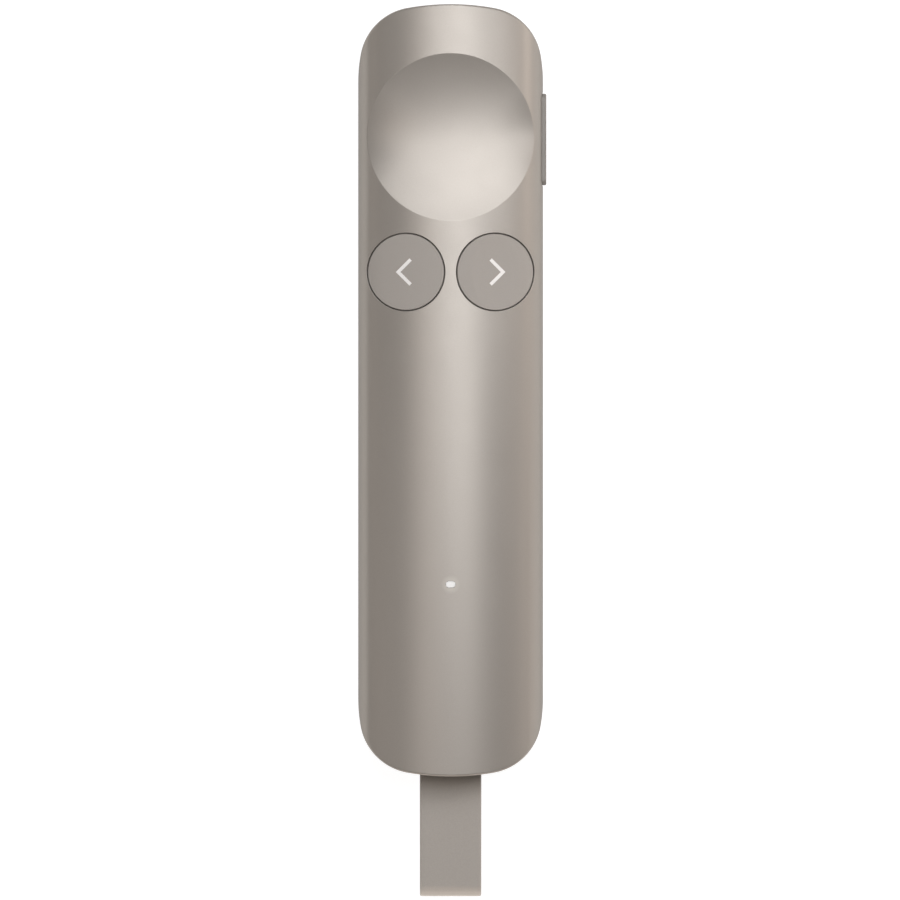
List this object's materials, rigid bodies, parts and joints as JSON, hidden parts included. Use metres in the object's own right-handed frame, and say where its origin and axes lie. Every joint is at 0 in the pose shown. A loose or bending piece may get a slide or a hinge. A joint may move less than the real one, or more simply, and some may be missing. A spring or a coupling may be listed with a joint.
{
  "type": "wireless presentation clicker",
  "caption": "Slim hand-held presentation clicker with a thumb dish, two round buttons, a side bar button, a status window and a receiver docked on a silicone pull tab.",
  "frame": {"origin": "centre of the flat back face", "axes": "+X to the right seen from the button side, +Y along the body towards the dish end, +Z out of the button face"},
  "size_m": [0.0311, 0.147, 0.0132],
  "materials": {
    "shell_paint": "satin metallic taupe paint",
    "cap_paint": "matte taupe, soft to the touch",
    "bar_paint": "matte taupe",
    "white_inlay": "moulded white",
    "light_pipe": "milky, lit from below",
    "silicone": "matte silicone",
    "dark_plastic": "fine moulded texture",
    "steel": "plain sheet and turned metal",
    "circuit_board": "solder mask over glass fibre",
    "chip_ceramic": "sintered ceramic",
    "battery_foil": "laminated pouch foil",
    "foam_tape": "adhesive foam",
    "wire_sleeve": "wire insulation"
  },
  "bodies": {
    "housing": {"top_shell": "shell_paint", "back_shell": "shell_paint", "chassis": "dark_plastic", "chassis_screws": "steel", "main_board": "circuit_board", "prev_switch_base": "dark_plastic", "prev_switch_dome": "steel", "next_switch_base": "dark_plastic", "next_switch_dome": "steel", "side_switch_base": "dark_plastic", "side_switch_dome": "steel", "status_light_pipe": "light_pipe", "status_led": "white_inlay", "battery_cell": "battery_foil", "battery_pad": "foam_tape", "battery_leads": "wire_sleeve", "battery_plug": "white_inlay", "battery_header": "dark_plastic", "radio_shield_can": "steel", "controller_chip": "dark_plastic", "controller_crystal": "steel", "motion_sensor_chip": "dark_plastic", "power_chip": "dark_plastic", "board_passives": "chip_ceramic", "antenna_chip": "chip_ceramic", "haptic_motor": "steel", "haptic_pad": "foam_tape", "port_shell": "steel", "port_tongue": "dark_plastic"},
    "prev_button": {"prev_button": "cap_paint", "prev_chevron": "white_inlay", "prev_switch_plunger": "white_inlay"},
    "next_button": {"next_button": "cap_paint", "next_chevron": "white_inlay", "next_switch_plunger": "white_inlay"},
    "side_button": {"side_button": "bar_paint", "side_switch_plunger": "white_inlay"},
    "receiver": {"receiver_housing": "dark_plastic", "receiver_plug_shell": "steel", "receiver_plug_insulator": "dark_plastic", "receiver_board": "circuit_board", "receiver_chip": "dark_plastic", "tab_anchor_pin": "steel"},
    "tab": {"pull_tab": "silicone"}
  },
  "joints": [
    {"name": "prev_press", "type": "slide", "parent": "housing", "child": "prev_button", "axis": [0, 0, -1], "range_m": [0, 0.00035], "stiffness_N_per_m": 600, "springref_m": -0.0006, "deforming": ["prev_switch_dome"]},
    {"name": "next_press", "type": "slide", "parent": "housing", "child": "next_button", "axis": [0, 0, -1], "range_m": [0, 0.00035], "stiffness_N_per_m": 600, "springref_m": -0.0006, "deforming": ["next_switch_dome"]},
    {"name": "side_press", "type": "slide", "parent": "housing", "child": "side_button", "axis": [-1, 0, 0], "range_m": [0, 0.00035], "stiffness_N_per_m": 600, "springref_m": -0.0006, "deforming": ["side_switch_dome"]},
    {"name": "receiver_slide", "type": "slide", "parent": "housing", "child": "receiver", "axis": [0, -1, 0], "range_m": [0, 0.022]},
    {"name": "tab_swing", "type": "hinge", "parent": "receiver", "child": "tab", "pos_m": [0, -0.06145, 0.0054], "axis": [1, 0, 0], "range_deg": [-12, 12], "stiffness_Nm_per_rad": 0.003}
  ]
}
